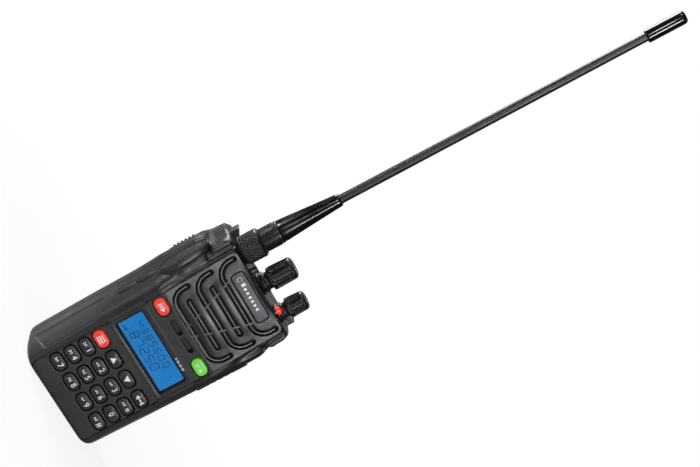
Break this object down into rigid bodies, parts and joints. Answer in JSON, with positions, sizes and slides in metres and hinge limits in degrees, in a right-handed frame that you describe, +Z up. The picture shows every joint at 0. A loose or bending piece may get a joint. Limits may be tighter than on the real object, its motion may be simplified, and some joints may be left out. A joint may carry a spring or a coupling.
{
  "type": "handheld two-way radio",
  "caption": "Upright handheld two-way radio with keypad, display, slotted speaker front, two top knobs and a long screw-on whip antenna.",
  "frame": {"origin": "middle of the base, on the plane it stands on", "axes": "+Z up along the antenna, -Y out of the keypad front, +X to the right as the front is seen"},
  "size_m": [0.062, 0.0352, 0.322],
  "materials": {
    "case_black": "fine grained",
    "chassis_black": "fine grained",
    "rubber_black": "matt",
    "trim_black": "satin",
    "key_black": "satin",
    "key_red": "satin",
    "key_green": "satin",
    "knob_black": "satin",
    "plate_grey": "brushed",
    "window": "clear",
    "display_blue": "smooth",
    "board_green": "satin",
    "mat_grey": "matt",
    "speaker_steel": "satin",
    "cloth_black": "woven",
    "light_red": "clear tinted",
    "brass": "plated",
    "steel": "bright",
    "switch_black": "satin",
    "whip_black": "satin",
    "sleeve_black": "glossy",
    "cell_blue": "wrapped"
  },
  "bodies": {
    "case": {"front_case": "case_black", "case_gasket": "rubber_black", "rear_chassis": "chassis_black", "side_inset": "rubber_black", "ptt_frame": "trim_black", "nameplate": "plate_grey", "display_lens": "window", "display_panel": "display_blue", "keypad_mat": "mat_grey", "main_board": "board_green", "loudspeaker": "speaker_steel", "speaker_cloth": "cloth_black", "microphone": "steel", "status_light": "light_red", "antenna_socket": "brass", "channel_encoder": "steel", "volume_control": "steel", "top_screw": "steel", "strap_lugs": "steel", "talk_switch": "switch_black", "side_switches": "switch_black", "speaker_jack": "switch_black", "microphone_jack": "switch_black", "battery_contacts": "brass", "case_screws": "steel", "hinge_pin": "steel"},
    "key_menu_body": {"key_menu": "key_red"},
    "key_up_body": {"key_up": "key_black"},
    "key_down_body": {"key_down": "key_black"},
    "key_exit_body": {"key_exit": "key_black"},
    "key_1_body": {"key_1": "key_black"},
    "key_2_body": {"key_2": "key_black"},
    "key_3_body": {"key_3": "key_black"},
    "key_star_body": {"key_star": "key_black"},
    "key_4_body": {"key_4": "key_black"},
    "key_5_body": {"key_5": "key_black"},
    "key_6_body": {"key_6": "key_black"},
    "key_0_body": {"key_0": "key_black"},
    "key_7_body": {"key_7": "key_black"},
    "key_8_body": {"key_8": "key_black"},
    "key_9_body": {"key_9": "key_black"},
    "key_hash_body": {"key_hash": "key_black"},
    "key_red_body": {"key_red": "key_red"},
    "key_green_body": {"key_green": "key_green"},
    "talk_button_body": {"talk_button": "rubber_black"},
    "side_button_upper_body": {"side_button_upper": "rubber_black"},
    "side_button_lower_body": {"side_button_lower": "rubber_black"},
    "channel_control": {"channel_knob": "knob_black", "channel_shaft": "steel"},
    "volume_control_knob": {"volume_knob": "knob_black", "volume_shaft": "steel"},
    "antenna": {"antenna_collar": "knob_black", "antenna_sleeve": "sleeve_black", "antenna_whip": "whip_black", "antenna_cap": "sleeve_black"},
    "battery_pack": {"battery_shell": "case_black", "battery_cells": "cell_blue", "battery_plate": "switch_black"},
    "latch": {"battery_latch": "trim_black"},
    "socket_cover": {"jack_cover": "rubber_black"}
  },
  "joints": [
    {"name": "key_menu_press", "type": "slide", "parent": "case", "child": "key_menu_body", "axis": [0, 1, 0], "range_m": [0, 0.0005], "stiffness_N_per_m": 200},
    {"name": "key_up_press", "type": "slide", "parent": "case", "child": "key_up_body", "axis": [0, 1, 0], "range_m": [0, 0.0005], "stiffness_N_per_m": 200},
    {"name": "key_down_press", "type": "slide", "parent": "case", "child": "key_down_body", "axis": [0, 1, 0], "range_m": [0, 0.0005], "stiffness_N_per_m": 200},
    {"name": "key_exit_press", "type": "slide", "parent": "case", "child": "key_exit_body", "axis": [0, 1, 0], "range_m": [0, 0.0005], "stiffness_N_per_m": 200},
    {"name": "key_1_press", "type": "slide", "parent": "case", "child": "key_1_body", "axis": [0, 1, 0], "range_m": [0, 0.0005], "stiffness_N_per_m": 200},
    {"name": "key_2_press", "type": "slide", "parent": "case", "child": "key_2_body", "axis": [0, 1, 0], "range_m": [0, 0.0005], "stiffness_N_per_m": 200},
    {"name": "key_3_press", "type": "slide", "parent": "case", "child": "key_3_body", "axis": [0, 1, 0], "range_m": [0, 0.0005], "stiffness_N_per_m": 200},
    {"name": "key_star_press", "type": "slide", "parent": "case", "child": "key_star_body", "axis": [0, 1, 0], "range_m": [0, 0.0005], "stiffness_N_per_m": 200},
    {"name": "key_4_press", "type": "slide", "parent": "case", "child": "key_4_body", "axis": [0, 1, 0], "range_m": [0, 0.0005], "stiffness_N_per_m": 200},
    {"name": "key_5_press", "type": "slide", "parent": "case", "child": "key_5_body", "axis": [0, 1, 0], "range_m": [0, 0.0005], "stiffness_N_per_m": 200},
    {"name": "key_6_press", "type": "slide", "parent": "case", "child": "key_6_body", "axis": [0, 1, 0], "range_m": [0, 0.0005], "stiffness_N_per_m": 200},
    {"name": "key_0_press", "type": "slide", "parent": "case", "child": "key_0_body", "axis": [0, 1, 0], "range_m": [0, 0.0005], "stiffness_N_per_m": 200},
    {"name": "key_7_press", "type": "slide", "parent": "case", "child": "key_7_body", "axis": [0, 1, 0], "range_m": [0, 0.0005], "stiffness_N_per_m": 200},
    {"name": "key_8_press", "type": "slide", "parent": "case", "child": "key_8_body", "axis": [0, 1, 0], "range_m": [0, 0.0005], "stiffness_N_per_m": 200},
    {"name": "key_9_press", "type": "slide", "parent": "case", "child": "key_9_body", "axis": [0, 1, 0], "range_m": [0, 0.0005], "stiffness_N_per_m": 200},
    {"name": "key_hash_press", "type": "slide", "parent": "case", "child": "key_hash_body", "axis": [0, 1, 0], "range_m": [0, 0.0005], "stiffness_N_per_m": 200},
    {"name": "key_red_press", "type": "slide", "parent": "case", "child": "key_red_body", "axis": [0, 1, 0], "range_m": [0, 0.0005], "stiffness_N_per_m": 200},
    {"name": "key_green_press", "type": "slide", "parent": "case", "child": "key_green_body", "axis": [0, 1, 0], "range_m": [0, 0.0005], "stiffness_N_per_m": 200},
    {"name": "talk_button_press", "type": "slide", "parent": "case", "child": "talk_button_body", "axis": [1, 0, 0], "range_m": [0, 0.0008], "stiffness_N_per_m": 600},
    {"name": "side_button_upper_press", "type": "slide", "parent": "case", "child": "side_button_upper_body", "axis": [1, 0, 0], "range_m": [0, 0.0005], "stiffness_N_per_m": 300},
    {"name": "side_button_lower_press", "type": "slide", "parent": "case", "child": "side_button_lower_body", "axis": [1, 0, 0], "range_m": [0, 0.0005], "stiffness_N_per_m": 300},
    {"name": "channel_turn", "type": "hinge", "parent": "case", "child": "channel_control", "pos_m": [0, -0.003, 0.104], "axis": [0, 0, -1], "continuous": true},
    {"name": "volume_turn", "type": "hinge", "parent": "case", "child": "volume_control_knob", "pos_m": [0.016, -0.003, 0.104], "axis": [0, 0, -1], "range_deg": [0, 300]},
    {"name": "antenna_unscrew", "type": "hinge", "parent": "case", "child": "antenna", "pos_m": [-0.0174, -0.003, 0.104], "axis": [0, 0, 1], "continuous": true},
    {"name": "battery_off", "type": "slide", "parent": "case", "child": "battery_pack", "axis": [0, 1, 0], "range_m": [0, 0.015]},
    {"name": "latch_lift", "type": "slide", "parent": "case", "child": "latch", "axis": [0, 0, 1], "range_m": [0, 0.0025], "stiffness_N_per_m": 400},
    {"name": "cover_open", "type": "hinge", "parent": "case", "child": "socket_cover", "pos_m": [0.0299, 0.0016, 0.069], "axis": [0, 0, 1], "range_deg": [0, 110]}
  ]
}
